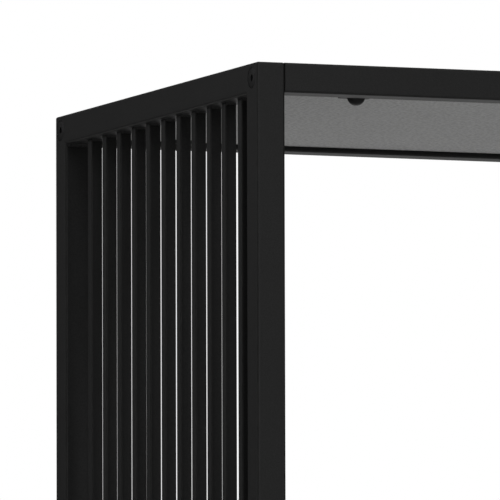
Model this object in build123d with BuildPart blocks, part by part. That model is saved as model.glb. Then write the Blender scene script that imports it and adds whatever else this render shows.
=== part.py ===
from build123d import *
import os

# Firewood log rack: two welded end frames with a grille of upright slats, joined by four
# bolted rails, a flat roof cassette held on tabs, a floor of bearers and four levelling feet.
# Millimetres. Origin on the ground under the middle of the rack, +X right, +Y back, +Z up.

# ---- Driving dimensions ----------------------------------------------------------------
width = 1000.0
depth = 480.0
height = 2000.0
frame_bottom = 22.0              # ground to the underside of the steel frame

tube = 25.0                      # square tube of the posts and rails
tube_wall = 1.5
tube_edge = 2.0                  # outside radius of the tube's long edges

slat = 10.0                      # square bar
slat_edge = 1.2
slat_pitch = 35.5
# How far each bar is welded off an even pitch, front bar first; the front bar sits nearest its post.
slat_drift = (-2.5, -0.3, -1.2, -0.7, -0.8, 0.0, 0.5, -0.4, -0.3, -0.8, -1.0)

bearer = 20.0                    # square tube of the floor
bearer_count = 9

frame_bolt_head = 17.0           # M8 flat-head connector bolt
frame_bolt_head_height = 1.8
frame_bolt_shank = 8.0
frame_bolt_reach = 14.0          # length of shank inside the rail
frame_bolt_socket = 5.0          # across flats
frame_bolt_socket_depth = 3.5
sleeve_diameter = 17.2           # crush sleeve that carries the head across the hollow tube
head_hole = 17.5
shank_hole = 8.4
plug_length = 18.0               # threaded plug in the end of a rail

roof_lift = 4.5                  # rail underside to roof underside
roof_gap = 1.0                   # roof cassette to the rails, all round
sheet = 1.5
fold_edge = 2.0                  # outside radius of the cassette's upright corners
tab_width = 27.0
tab_reach = 20.0
tab_thickness = 3.0
tab_corner = 3.0
tab_from_end = 102.0             # outer face of the rack to the middle of the outer tabs
dome_diameter = 15.2             # M6 dome-head bolt under each tab
dome_height = 6.5
dome_socket = 4.0
dome_socket_depth = 3.0
roof_bolt_shank = 6.0
roof_bolt_length = 11.0
roof_bolt_hole = 6.6
roof_nut_flats = 10.0
roof_nut_height = 5.0

foot_inset = 45.0                # front or back face of the rack to the middle of a foot
foot_pad = 24.0
foot_pad_rim = 5.0
foot_pad_top = 15.5
foot_stem = 8.0
foot_thread_bore = 8.1           # running fit on the stem
foot_hole = 9.0
foot_nut_flats = 13.0
lock_nut_height = 5.0
weld_nut_height = 6.5
collar_height = 5.0
foot_play = 0.3                  # collar to lock nut with the foot screwed right in
foot_stem_top = 44.0

# ---- Worked-out places -----------------------------------------------------------------
half_width = width / 2
half_depth = depth / 2
frame_height = height - frame_bottom
inner_width = width - 2 * tube
inner_depth = depth - 2 * tube
rail_middle_y = half_depth - tube / 2
top_rail_z = height - tube / 2
bottom_rail_z = frame_bottom + tube / 2
rail_underside = height - tube
roof_underside = rail_underside + roof_lift
tab_underside = roof_underside - tab_thickness
tab_places = (-half_width + tab_from_end, 0.0, half_width - tab_from_end)
tab_middle_y = inner_depth / 2 - tab_reach / 2
collar_top = frame_bottom - lock_nut_height - foot_play
pad_top = collar_top - collar_height
foot_y = half_depth - foot_inset
slat_middle = (len(slat_drift) - 1) / 2
slat_places = [(i - slat_middle) * slat_pitch + drift for i, drift in enumerate(slat_drift)]

sides = {"left": -1, "right": 1}
ends = {"front": -1, "rear": 1}
levels = {"top": top_rail_z, "bottom": bottom_rail_z}

pieces = []


def keep(builder, name):
    """Label a finished piece and put it on the list to be written."""
    builder.part.label = name
    pieces.append(builder.part)


def tube_section(size, edge):
    """Square tube section with rounded long edges, inside a sketch."""
    RectangleRounded(size, size, edge)
    bore = size - 2 * tube_wall
    RectangleRounded(bore, bore, edge - tube_wall, mode=Mode.SUBTRACT)


def mitred_tube(start, length):
    """Cut a tube's ends at 45 degrees; the plane's y points to the inside of the frame."""
    outer_edge = start.origin - start.y_dir * (tube / 2)
    near_cut = Plane(origin=outer_edge, z_dir=start.z_dir - start.y_dir)
    far_cut = Plane(origin=outer_edge + start.z_dir * length, z_dir=start.z_dir + start.y_dir)
    with BuildSketch(start) as section:
        tube_section(tube, tube_edge)
    extrude(section.sketch, amount=length)
    split(bisect_by=near_cut, keep=Keep.TOP)
    split(bisect_by=far_cut, keep=Keep.BOTTOM)


def cut_bolt_holes(side, middle_y, middle_z):
    """Head hole in a tube's outer wall and shank hole in its inner wall."""
    outer_face = Plane(origin=(side * half_width, middle_y, middle_z), z_dir=(-side, 0, 0))
    with BuildSketch(outer_face) as for_head:
        Circle(head_hole / 2)
    extrude(for_head.sketch, amount=tube_wall, mode=Mode.SUBTRACT)
    with BuildSketch(outer_face.offset(tube - tube_wall)) as for_shank:
        Circle(shank_hole / 2)
    extrude(for_shank.sketch, amount=tube_wall, mode=Mode.SUBTRACT)


def nut(middle, flats, bore, nut_height):
    """Hexagon nut standing on its lower face."""
    with BuildSketch(Plane(origin=middle)) as hexagon:
        RegularPolygon(flats / 2, 6, major_radius=False)
        Circle(bore / 2, mode=Mode.SUBTRACT)
    extrude(hexagon.sketch, amount=nut_height)


# ---- End frames: posts, top and bottom members, slats ----------------------------------
for side_name, side in sides.items():
    tube_x = side * (half_width - tube / 2)

    for end_name, end in ends.items():
        post_start = Plane(
            origin=(tube_x, end * rail_middle_y, frame_bottom),
            x_dir=(-end, 0, 0),
            z_dir=(0, 0, 1),
        )
        with BuildPart() as post:
            mitred_tube(post_start, frame_height)
            cut_bolt_holes(side, end * rail_middle_y, top_rail_z)
            cut_bolt_holes(side, end * rail_middle_y, bottom_rail_z)
        keep(post, f"{side_name}_{end_name}_post")

    top_start = Plane(origin=(tube_x, -half_depth, top_rail_z), x_dir=(1, 0, 0), z_dir=(0, 1, 0))
    with BuildPart() as top_member:
        mitred_tube(top_start, depth)
        cut_bolt_holes(side, -rail_middle_y, top_rail_z)
        cut_bolt_holes(side, rail_middle_y, top_rail_z)
    keep(top_member, f"{side_name}_top_member")

    bottom_start = Plane(
        origin=(tube_x, -half_depth, bottom_rail_z),
        x_dir=(-1, 0, 0),
        z_dir=(0, 1, 0),
    )
    with BuildPart() as bottom_member:
        mitred_tube(bottom_start, depth)
        cut_bolt_holes(side, -rail_middle_y, bottom_rail_z)
        cut_bolt_holes(side, rail_middle_y, bottom_rail_z)
        with BuildSketch(Plane.XY.offset(frame_bottom)):
            with Locations((tube_x, -foot_y), (tube_x, foot_y)):
                Circle(foot_hole / 2)
        extrude(amount=tube_wall, mode=Mode.SUBTRACT)
    keep(bottom_member, f"{side_name}_bottom_member")

    with BuildPart() as slats:
        with BuildSketch(Plane.XY.offset(frame_bottom + tube)):
            with Locations(*[(tube_x, slat_y) for slat_y in slat_places]):
                RectangleRounded(slat, slat, slat_edge)
        extrude(amount=frame_height - 2 * tube)
    keep(slats, f"{side_name}_slats")

# ---- Rails between the end frames ------------------------------------------------------
for level_name, rail_z in levels.items():
    for end_name, end in ends.items():
        rail_start = Plane(origin=(-inner_width / 2, end * rail_middle_y, rail_z), z_dir=(1, 0, 0))
        with BuildPart() as rail:
            with BuildSketch(rail_start):
                tube_section(tube, tube_edge)
            extrude(amount=inner_width)
        keep(rail, f"{end_name}_{level_name}_rail")

# ---- Frame bolts, their crush sleeves and the threaded plugs in the rails --------------
head_seat = half_width - frame_bolt_head_height
plug_side = tube - 2 * tube_wall
for side_name, side in sides.items():
    outward = (side, 0, 0)
    joints = [(end * rail_middle_y, rail_z) for end in ends.values() for rail_z in levels.values()]

    with BuildPart() as bolts:
        for joint_y, joint_z in joints:
            seat = Plane(origin=(side * head_seat, joint_y, joint_z), z_dir=outward)
            with BuildSketch(seat):
                Circle(frame_bolt_head / 2)
            extrude(amount=frame_bolt_head_height)
            with BuildSketch(seat):
                Circle(frame_bolt_shank / 2)
            extrude(amount=-(tube - frame_bolt_head_height + frame_bolt_reach))
            with BuildSketch(seat.offset(frame_bolt_head_height)):
                RegularPolygon(frame_bolt_socket / 2, 6, major_radius=False)
            extrude(amount=-frame_bolt_socket_depth, mode=Mode.SUBTRACT)
    keep(bolts, f"{side_name}_frame_bolts")

    with BuildPart() as sleeves:
        for joint_y, joint_z in joints:
            seat = Plane(origin=(side * head_seat, joint_y, joint_z), z_dir=outward)
            with BuildSketch(seat):
                Circle(sleeve_diameter / 2)
                Circle(shank_hole / 2, mode=Mode.SUBTRACT)
            extrude(amount=-(tube - tube_wall - frame_bolt_head_height))
    keep(sleeves, f"{side_name}_crush_sleeves")

    with BuildPart() as plugs:
        for joint_y, joint_z in joints:
            rail_end = Plane(origin=(side * inner_width / 2, joint_y, joint_z), z_dir=outward)
            with BuildSketch(rail_end):
                RectangleRounded(plug_side, plug_side, tube_edge - tube_wall)
                Circle(frame_bolt_shank / 2, mode=Mode.SUBTRACT)
            extrude(amount=-plug_length)
    keep(plugs, f"{side_name}_rail_plugs")

# ---- Roof: tabs on the rails, cassette of two folded sheets, bolts and nuts ------------
tab_corner_y = inner_depth / 2 - tab_reach
for end_name, end in ends.items():
    with BuildPart() as tabs:
        with BuildSketch(Plane.XY.offset(tab_underside)):
            with Locations(*[(x, end * tab_middle_y) for x in tab_places]):
                Rectangle(tab_width, tab_reach)
                Circle(roof_bolt_hole / 2, mode=Mode.SUBTRACT)
        extrude(amount=tab_thickness)
        free_side = tabs.edges().filter_by(Axis.Z).group_by(Axis.Y)[-1 if end < 0 else 0]
        fillet(free_side, tab_corner)
    keep(tabs, f"{end_name}_roof_tabs")

lid_width = inner_width - 2 * roof_gap
lid_depth = inner_depth - 2 * roof_gap
pan_width = lid_width - 2 * sheet
pan_depth = lid_depth - 2 * sheet
skirt_bottom = roof_underside + sheet
with BuildPart() as roof_pan:
    with BuildSketch(Plane.XY.offset(roof_underside)):
        RectangleRounded(pan_width, pan_depth, fold_edge)
        with Locations(*[(x, end * tab_middle_y) for x in tab_places for end in ends.values()]):
            Circle(roof_bolt_hole / 2, mode=Mode.SUBTRACT)
    extrude(amount=sheet)
    with BuildSketch(Plane.XY.offset(roof_underside)):
        RectangleRounded(pan_width, pan_depth, fold_edge)
        Rectangle(pan_width - 2 * sheet, pan_depth - 2 * sheet, mode=Mode.SUBTRACT)
    extrude(amount=height - sheet - roof_underside)
keep(roof_pan, "roof_pan")

with BuildPart() as roof_lid:
    with BuildSketch(Plane.XY.offset(height - sheet)):
        RectangleRounded(lid_width, lid_depth, fold_edge + sheet)
    extrude(amount=sheet)
    with BuildSketch(Plane.XY.offset(skirt_bottom)):
        RectangleRounded(lid_width, lid_depth, fold_edge + sheet)
        RectangleRounded(pan_width, pan_depth, fold_edge, mode=Mode.SUBTRACT)
    extrude(amount=height - skirt_bottom)
keep(roof_lid, "roof_lid")

roof_bolt_places = [(x, end * tab_middle_y) for end in ends.values() for x in tab_places]
dome_radius = dome_diameter / 2
shank_radius = roof_bolt_shank / 2
crown_radius = (dome_radius**2 + dome_height**2) / (2 * dome_height)
with BuildPart() as roof_bolts:
    for bolt_x, bolt_y in roof_bolt_places:
        head_face = Plane(origin=(bolt_x, bolt_y, tab_underside), x_dir=(1, 0, 0), z_dir=(0, -1, 0))
        with BuildSketch(head_face):
            with BuildLine():
                shank = Polyline(
                    (0, -dome_height),
                    (0, roof_bolt_length),
                    (shank_radius, roof_bolt_length),
                    (shank_radius, 0),
                    (dome_radius, 0),
                )
                RadiusArc(shank @ 0, shank @ 1, -crown_radius)
            make_face()
        revolve(axis=Axis((bolt_x, bolt_y, 0), (0, 0, 1)))
        with BuildSketch(Plane(origin=(bolt_x, bolt_y, tab_underside - dome_height))):
            RegularPolygon(dome_socket / 2, 6, major_radius=False)
        extrude(amount=dome_socket_depth, mode=Mode.SUBTRACT)
keep(roof_bolts, "roof_bolts")

with BuildPart() as roof_nuts:
    for bolt_x, bolt_y in roof_bolt_places:
        nut((bolt_x, bolt_y, roof_underside + sheet), roof_nut_flats, roof_bolt_shank, roof_nut_height)
keep(roof_nuts, "roof_nuts")

# ---- Floor -----------------------------------------------------------------------------
bearer_pitch = inner_width / (bearer_count + 1)
bearer_z = frame_bottom + tube - bearer / 2
bearer_start = Plane(origin=(0, -inner_depth / 2, bearer_z), x_dir=(1, 0, 0), z_dir=(0, 1, 0))
with BuildPart() as bearers:
    with BuildSketch(bearer_start):
        with GridLocations(bearer_pitch, bearer_pitch, bearer_count, 1):
            tube_section(bearer, tube_edge)
    extrude(amount=inner_depth)
keep(bearers, "floor_bearers")

# ---- Levelling feet: nuts fixed to the frame, stem and pad that screw down --------------
foot_places = [
    (side * (half_width - tube / 2), end * foot_y) for side in sides.values() for end in ends.values()
]
with BuildPart() as weld_nuts:
    for foot_x, foot_middle_y in foot_places:
        inside_wall = (foot_x, foot_middle_y, frame_bottom + tube_wall)
        nut(inside_wall, foot_nut_flats, foot_thread_bore, weld_nut_height)
keep(weld_nuts, "foot_weld_nuts")

with BuildPart() as lock_nuts:
    for foot_x, foot_middle_y in foot_places:
        under_frame = (foot_x, foot_middle_y, frame_bottom - lock_nut_height)
        nut(under_frame, foot_nut_flats, foot_thread_bore, lock_nut_height)
keep(lock_nuts, "foot_lock_nuts")

for side_name, side in sides.items():
    for end_name, end in ends.items():
        foot_x = side * (half_width - tube / 2)
        foot_base = Plane(origin=(foot_x, end * foot_y, 0))

        with BuildPart() as stem:
            with BuildSketch(foot_base.offset(foot_pad_rim)):
                Circle(foot_stem / 2)
            extrude(amount=foot_stem_top - foot_pad_rim)
            chamfer(stem.faces().sort_by(Axis.Z)[-1].edges(), 0.8)
            with BuildSketch(foot_base.offset(pad_top)):
                RegularPolygon(foot_nut_flats / 2, 6, major_radius=False)
            extrude(amount=collar_height)
        keep(stem, f"{side_name}_{end_name}_foot_stem")

        with BuildPart() as pad:
            with BuildSketch(foot_base):
                Circle(foot_pad / 2)
            extrude(amount=foot_pad_rim)
            with BuildSketch(foot_base.offset(foot_pad_rim)):
                Circle(foot_pad / 2)
            with BuildSketch(foot_base.offset(pad_top)):
                Circle(foot_pad_top / 2)
            loft()
            fillet(pad.edges().filter_by(GeomType.CIRCLE).sort_by(Axis.Z)[0], 1.0)
            with BuildSketch(foot_base.offset(foot_pad_rim)):
                Circle(foot_stem / 2)
            extrude(amount=pad_top, mode=Mode.SUBTRACT)
        keep(pad, f"{side_name}_{end_name}_foot_pad")

# ---- Write one STEP file per piece -----------------------------------------------------
os.makedirs("parts", exist_ok=True)
for piece in pieces:
    export_step(piece, f"parts/{piece.label}.step")
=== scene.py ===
import logging
import math
import random
from dataclasses import dataclass, field
from enum import Enum
from typing import Iterable, Sequence

import bmesh
import bpy
from mathutils import Matrix, Vector


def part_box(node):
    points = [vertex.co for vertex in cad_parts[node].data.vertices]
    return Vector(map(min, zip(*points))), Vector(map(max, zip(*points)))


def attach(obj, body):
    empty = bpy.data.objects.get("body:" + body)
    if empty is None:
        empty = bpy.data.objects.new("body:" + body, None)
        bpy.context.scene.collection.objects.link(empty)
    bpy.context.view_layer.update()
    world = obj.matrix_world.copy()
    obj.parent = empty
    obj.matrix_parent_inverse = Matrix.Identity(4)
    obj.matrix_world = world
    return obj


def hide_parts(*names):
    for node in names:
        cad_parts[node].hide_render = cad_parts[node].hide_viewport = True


# Looks of a firewood log rack: welded end frames of square tube with upright bars, bolted rails,
# a flat roof cassette, a barred floor and screw feet, in a plain pale studio. Metres, +Z up.

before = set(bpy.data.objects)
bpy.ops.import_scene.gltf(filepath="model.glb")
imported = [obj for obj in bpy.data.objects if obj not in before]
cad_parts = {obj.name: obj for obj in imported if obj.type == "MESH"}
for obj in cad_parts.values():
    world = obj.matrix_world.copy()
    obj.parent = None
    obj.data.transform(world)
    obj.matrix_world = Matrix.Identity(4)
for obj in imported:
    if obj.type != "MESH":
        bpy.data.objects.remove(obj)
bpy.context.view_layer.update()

LOG = logging.getLogger("log_rack")
MM = 0.001
RACK = "rack"
RIGHT, BACK, UP = Vector((1, 0, 0)), Vector((0, 1, 0)), Vector((0, 0, 1))


class Side(Enum):
    """The two end frames, with the sign of their X."""

    LEFT = -1
    RIGHT = 1


class End(Enum):
    """Front and rear of the rack, with the sign of their Y."""

    FRONT = -1
    REAR = 1


class Slot(Enum):
    """Finish slots of the record."""

    POWDER = "frame_powder_coat"
    SHEET = "roof_sheet"
    FASTENER = "black_steel_fastener"
    ZINC = "zinc_plated_steel"
    PAD = "foot_plastic"


# ---- Node helpers ----------------------------------------------------------------------


def linear(hex_colour: str) -> tuple[float, float, float, float]:
    """Turn an sRGB hex colour into linear RGBA.

    Args:
        hex_colour: six digits with a leading #.

    Returns:
        Red, green, blue and an alpha of 1.
    """
    channels = [int(hex_colour[i:i + 2], 16) / 255 for i in (1, 3, 5)]
    lit = [c / 12.92 if c <= 0.04045 else ((c + 0.055) / 1.055) ** 2.4 for c in channels]
    return (lit[0], lit[1], lit[2], 1.0)


def per_metre(size_mm: float) -> float:
    """Scale of a noise whose features are size_mm wide."""
    return 1.0 / (size_mm * MM)


def add_node(
    tree: bpy.types.NodeTree,
    kind: str,
    settings: dict[str, object] | None = None,
    inputs: dict[str | int, object] | None = None,
) -> bpy.types.Node:
    """Add a node with its settings, input values and links.

    Args:
        tree: the node tree to add to.
        kind: the node's type name.
        settings: properties of the node itself.
        inputs: for each input, by name or number, a value or the output socket to link from.

    Returns:
        The new node.
    """
    node = tree.nodes.new(kind)
    for name, value in (settings or {}).items():
        setattr(node, name, value)
    for name, value in (inputs or {}).items():
        if isinstance(value, bpy.types.NodeSocket):
            tree.links.new(value, node.inputs[name])
        else:
            node.inputs[name].default_value = value
    return node


def blank_material(name: str) -> tuple[bpy.types.Material, bpy.types.NodeTree, bpy.types.NodeSocket]:
    """Start a material.

    Args:
        name: the real material and its surface.

    Returns:
        The material, its empty node tree and the place on the object as an output socket.
    """
    material = bpy.data.materials.new(name)
    material.use_nodes = True
    tree = material.node_tree
    tree.nodes.clear()
    return material, tree, add_node(tree, "ShaderNodeTexCoord").outputs["Object"]


# ---- Finishes --------------------------------------------------------------------------


@dataclass(frozen=True)
class PaintedSteel:
    """Paint baked on steel: a fine grain in colour and height, cloudy gloss, and lighter patches on rounded
    edges, part wear and part painted highlight.
    """

    name: str
    slot: Slot
    low: str
    high: str
    edge_wear_and_highlight_tone: str
    roughness: float
    grain_mm: float
    relief_mm: float
    grain_contrast: float = 0.5
    cloud_mm: float = 90.0
    cloud_roughness: float = 0.03
    patch_mm: float = 14.0
    ior: float = 1.5
    edge_wear_and_highlight_amount: float = 0.35

    def make(self) -> bpy.types.Material:
        """Build the material.

        Returns:
            A new material with its node tree.
        """
        material, tree, where = blank_material(self.name)
        grain = add_node(
            tree,
            "ShaderNodeTexNoise",
            inputs={"Vector": where, "Scale": per_metre(self.grain_mm), "Detail": 3.0, "Roughness": 0.6},
        ).outputs["Fac"]
        spread = self.grain_contrast / 2
        toned = add_node(
            tree,
            "ShaderNodeMapRange",
            inputs={"Value": grain, "From Min": 0.5 - spread / 2, "From Max": 0.5 + spread / 2},
        ).outputs["Result"]
        colour = add_node(
            tree,
            "ShaderNodeMix",
            {"data_type": "RGBA"},
            {"Factor": toned, "A": linear(self.low), "B": linear(self.high)},
        ).outputs[2]
        patches = add_node(
            tree,
            "ShaderNodeTexNoise",
            inputs={"Vector": where, "Scale": per_metre(self.patch_mm), "Detail": 4.0, "Roughness": 0.65},
        ).outputs["Fac"]
        # Lighter patches on the rounded edges: part wear, part a painted highlight where the edges catch
        # light.
        edge = add_node(tree, "ShaderNodeAttribute", {"attribute_name": "edge_wear_and_highlight"}).outputs["Fac"]
        wear_and_highlight_patches = add_node(
            tree,
            "ShaderNodeMapRange",
            inputs={"Value": patches, "From Min": 0.42, "From Max": 0.72, "To Max": self.edge_wear_and_highlight_amount},
        ).outputs["Result"]
        edge_wear_and_highlight = add_node(tree, "ShaderNodeMath", {"operation": "MULTIPLY"}, {0: wear_and_highlight_patches, 1: edge}).outputs[0]
        surface = add_node(
            tree,
            "ShaderNodeMix",
            {"data_type": "RGBA"},
            {"Factor": edge_wear_and_highlight, "A": colour, "B": linear(self.edge_wear_and_highlight_tone)},
        ).outputs[2]
        cloud = add_node(
            tree,
            "ShaderNodeTexNoise",
            inputs={"Vector": where, "Scale": per_metre(self.cloud_mm), "Detail": 2.0},
        ).outputs["Fac"]
        gloss = add_node(
            tree,
            "ShaderNodeMapRange",
            inputs={
                "Value": cloud,
                "From Min": 0.3,
                "From Max": 0.7,
                "To Min": self.roughness - self.cloud_roughness,
                "To Max": self.roughness + self.cloud_roughness,
            },
        ).outputs["Result"]
        relief = add_node(
            tree,
            "ShaderNodeBump",
            inputs={"Height": grain, "Strength": 1.0, "Distance": self.relief_mm * MM},
        ).outputs["Normal"]
        shader = add_node(
            tree,
            "ShaderNodeBsdfPrincipled",
            inputs={"Base Color": surface, "Roughness": gloss, "Normal": relief, "IOR": self.ior},
        )
        add_node(tree, "ShaderNodeOutputMaterial", inputs={"Surface": shader.outputs[0]})
        return material


@dataclass(frozen=True)
class PlatedSteel:
    """Plated or blackened steel, bright or not: mottled tone and fine turning lines."""

    name: str
    slot: Slot
    low: str
    high: str
    roughness: float
    mottle_mm: float
    line_mm: float
    metallic: float
    gloss_spread: float = 0.07

    def make(self) -> bpy.types.Material:
        """Build the material.

        Returns:
            A new material with its node tree.
        """
        material, tree, where = blank_material(self.name)
        mottle = add_node(
            tree,
            "ShaderNodeTexNoise",
            inputs={"Vector": where, "Scale": per_metre(self.mottle_mm), "Detail": 5.0, "Roughness": 0.6},
        ).outputs["Fac"]
        colour = add_node(
            tree,
            "ShaderNodeMix",
            {"data_type": "RGBA"},
            {"Factor": mottle, "A": linear(self.low), "B": linear(self.high)},
        ).outputs[2]
        gloss = add_node(
            tree,
            "ShaderNodeMapRange",
            inputs={
                "Value": mottle,
                "From Min": 0.3,
                "From Max": 0.7,
                "To Min": self.roughness - self.gloss_spread,
                "To Max": self.roughness + self.gloss_spread,
            },
        ).outputs["Result"]
        lines = add_node(
            tree,
            "ShaderNodeTexNoise",
            inputs={"Vector": where, "Scale": per_metre(self.line_mm), "Detail": 2.0},
        ).outputs["Fac"]
        relief = add_node(
            tree, "ShaderNodeBump", inputs={"Height": lines, "Strength": 0.6, "Distance": 0.02 * MM}
        ).outputs["Normal"]
        shader = add_node(
            tree,
            "ShaderNodeBsdfPrincipled",
            inputs={
                "Base Color": colour, "Metallic": self.metallic, "Roughness": gloss, "Normal": relief
            },
        )
        add_node(tree, "ShaderNodeOutputMaterial", inputs={"Surface": shader.outputs[0]})
        return material


@dataclass(frozen=True)
class MouldedPolyamide:
    """Black injection-moulded nylon: spark-eroded grain, soft sheen and scuffs low down."""

    name: str = "black_polyamide_moulded"
    slot: Slot = Slot.PAD
    low: str = "#161616"
    high: str = "#232323"
    scuffed: str = "#4a4845"
    scuff_height: float = 6.0 * MM
    roughness: float = 0.55
    grain_mm: float = 0.5
    relief_mm: float = 0.04
    ior: float = 1.53

    def make(self) -> bpy.types.Material:
        """Build the material.

        Returns:
            A new material with its node tree.
        """
        material, tree, where = blank_material(self.name)
        grain = add_node(
            tree, "ShaderNodeTexVoronoi", inputs={"Vector": where, "Scale": per_metre(self.grain_mm)}
        ).outputs["Distance"]
        colour = add_node(
            tree,
            "ShaderNodeMix",
            {"data_type": "RGBA"},
            {"Factor": grain, "A": linear(self.low), "B": linear(self.high)},
        ).outputs[2]
        height = add_node(tree, "ShaderNodeSeparateXYZ", inputs={"Vector": where}).outputs["Z"]
        low_down = add_node(
            tree,
            "ShaderNodeMapRange",
            inputs={"Value": height, "From Min": self.scuff_height, "From Max": 0.0, "To Max": 0.8},
        ).outputs["Result"]
        scratches = add_node(
            tree, "ShaderNodeTexNoise", inputs={"Vector": where, "Scale": per_metre(2.0), "Detail": 4.0}
        ).outputs["Fac"]
        scuff = add_node(
            tree, "ShaderNodeMath", {"operation": "MULTIPLY"}, {0: scratches, 1: low_down}
        ).outputs[0]
        surface = add_node(
            tree,
            "ShaderNodeMix",
            {"data_type": "RGBA"},
            {"Factor": scuff, "A": colour, "B": linear(self.scuffed)},
        ).outputs[2]
        relief = add_node(
            tree,
            "ShaderNodeBump",
            inputs={"Height": grain, "Strength": 1.0, "Distance": self.relief_mm * MM},
        ).outputs["Normal"]
        shader = add_node(
            tree,
            "ShaderNodeBsdfPrincipled",
            inputs={
                "Base Color": surface, "Roughness": self.roughness, "Normal": relief, "IOR": self.ior
            },
        )
        add_node(tree, "ShaderNodeOutputMaterial", inputs={"Surface": shader.outputs[0]})
        return material


Finish = PaintedSteel | PlatedSteel | MouldedPolyamide

# Polyester powder, black, fine texture: satin black that stays dark, with a dusting of pale
# grain. The real grain is about 0.3 mm; it is drawn at 1.1 mm so that it shows.
POWDER_COAT = PaintedSteel(
    name="black_polyester_powder_coat_fine_texture",
    slot=Slot.POWDER,
    low="#1b1b1b",
    high="#262626",
    # tone of the lighter edge patches: part wear, part painted highlight
    edge_wear_and_highlight_tone="#3c3b3a",
    roughness=0.5,
    grain_mm=1.1,
    relief_mm=0.035,
)
# Coil-coated steel sheet, light grey: an even satin grey with a fine sandy grain. The real grain
# is about 0.5 mm; it is drawn at 3 mm so that it shows.
ROOF_SHEET = PaintedSteel(
    name="light_grey_coil_coated_steel_sheet",
    slot=Slot.SHEET,
    low="#aaaaaa",
    high="#d8d8d8",
    # tone of the lighter edge patches: part wear, part painted highlight
    edge_wear_and_highlight_tone="#d0d0ce",
    roughness=0.5,
    grain_mm=3.0,
    relief_mm=0.03,
    edge_wear_and_highlight_amount=0.1,
)
# Black passivated zinc on bolt heads: a little darker and duller than the powder coat. The black
# layer hides the metal's shine, so it isn't shaded as a metal.
BLACK_PLATE = PlatedSteel(
    name="black_zinc_plated_bolt_steel",
    slot=Slot.FASTENER,
    low="#171718",
    high="#212122",
    roughness=0.56,
    mottle_mm=3.0,
    line_mm=0.8,
    metallic=0.0,
)
# Bright zinc plate, dulled by handling: cool grey metal with cloudy patches.
ZINC_PLATE = PlatedSteel(
    name="zinc_plated_steel_dulled",
    slot=Slot.ZINC,
    low="#9a9da0",
    high="#c4c6c8",
    roughness=0.36,
    mottle_mm=5.0,
    line_mm=0.6,
    metallic=1.0,
)
PAD_NYLON = MouldedPolyamide()


class Paintbox:
    """Makes each finish once and hands it out."""

    def __init__(self) -> None:
        """Start with no material made."""
        self._made: dict[str, bpy.types.Material] = {}

    def get(self, finish: Finish) -> bpy.types.Material:
        """The material of a finish, made at its first use."""
        if finish.name not in self._made:
            self._made[finish.name] = finish.make()
        return self._made[finish.name]

    def dress_node(self, node: str, finish: Finish) -> None:
        """Give a CAD node that is shown as it is this finish.

        Args:
            node: the CAD node's name.
            finish: what it is made of.
        """
        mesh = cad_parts[node].data
        mesh.materials.clear()
        mesh.materials.append(self.get(finish))
        LOG.info("node %s keeps its shape, finish %s", node, finish.name)


# ---- Mesh drafting ---------------------------------------------------------------------


class Draft:
    """Points, faces and corner normals of one mesh while it is being drawn."""

    def __init__(self) -> None:
        """Start empty."""
        self.points: list[Vector] = []
        self.edge_wear_and_highlight: list[float] = []
        self.faces: list[list[int]] = []
        self.normals: list[list[Vector]] = []

    def add(self, point: Vector, edge_wear_and_highlight: float = 0.0) -> int:
        """Add a point.

        Args:
            point: its place in the row frame.
            edge_wear_and_highlight: weight of the lighter patches on rounded edges, 0 to 1; part wear from
                hands and logs, part painted highlight of edges catching light.

        Returns:
            The point's number.
        """
        self.points.append(point)
        self.edge_wear_and_highlight.append(edge_wear_and_highlight)
        return len(self.points) - 1

    def face(self, corners: Sequence[int], normals: Vector | Sequence[Vector]) -> None:
        """Add a face, turned to agree with its normals.

        Args:
            corners: the numbers of its points, in order round it.
            normals: one normal for a flat face, or one for each corner.
        """
        each = [normals] * len(corners) if isinstance(normals, Vector) else list(normals)
        turn = Vector()
        for here, there in zip(corners, [*corners[1:], corners[0]]):
            turn += self.points[here].cross(self.points[there])
        order = list(range(len(corners)))
        if turn.dot(sum(each, Vector())) < 0:
            order.reverse()
        self.faces.append([corners[i] for i in order])
        self.normals.append([each[i] for i in order])

    def build(self, name: str) -> bpy.types.Object:
        """Make the object, smooth with these normals.

        Args:
            name: the piece's name.

        Returns:
            The new object, linked to the scene.
        """
        mesh = bpy.data.meshes.new(name)
        mesh.from_pydata(self.points, [], self.faces)
        # Per-point weight of the lighter edge patches: part wear, part painted highlight.
        layer = mesh.attributes.new("edge_wear_and_highlight", "FLOAT", "POINT")
        layer.data.foreach_set("value", self.edge_wear_and_highlight)
        mesh.shade_smooth()
        mesh.normals_split_custom_set([n.normalized() for ns in self.normals for n in ns])
        made = bpy.data.objects.new(name, mesh)
        bpy.context.scene.collection.objects.link(made)
        return made


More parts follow.
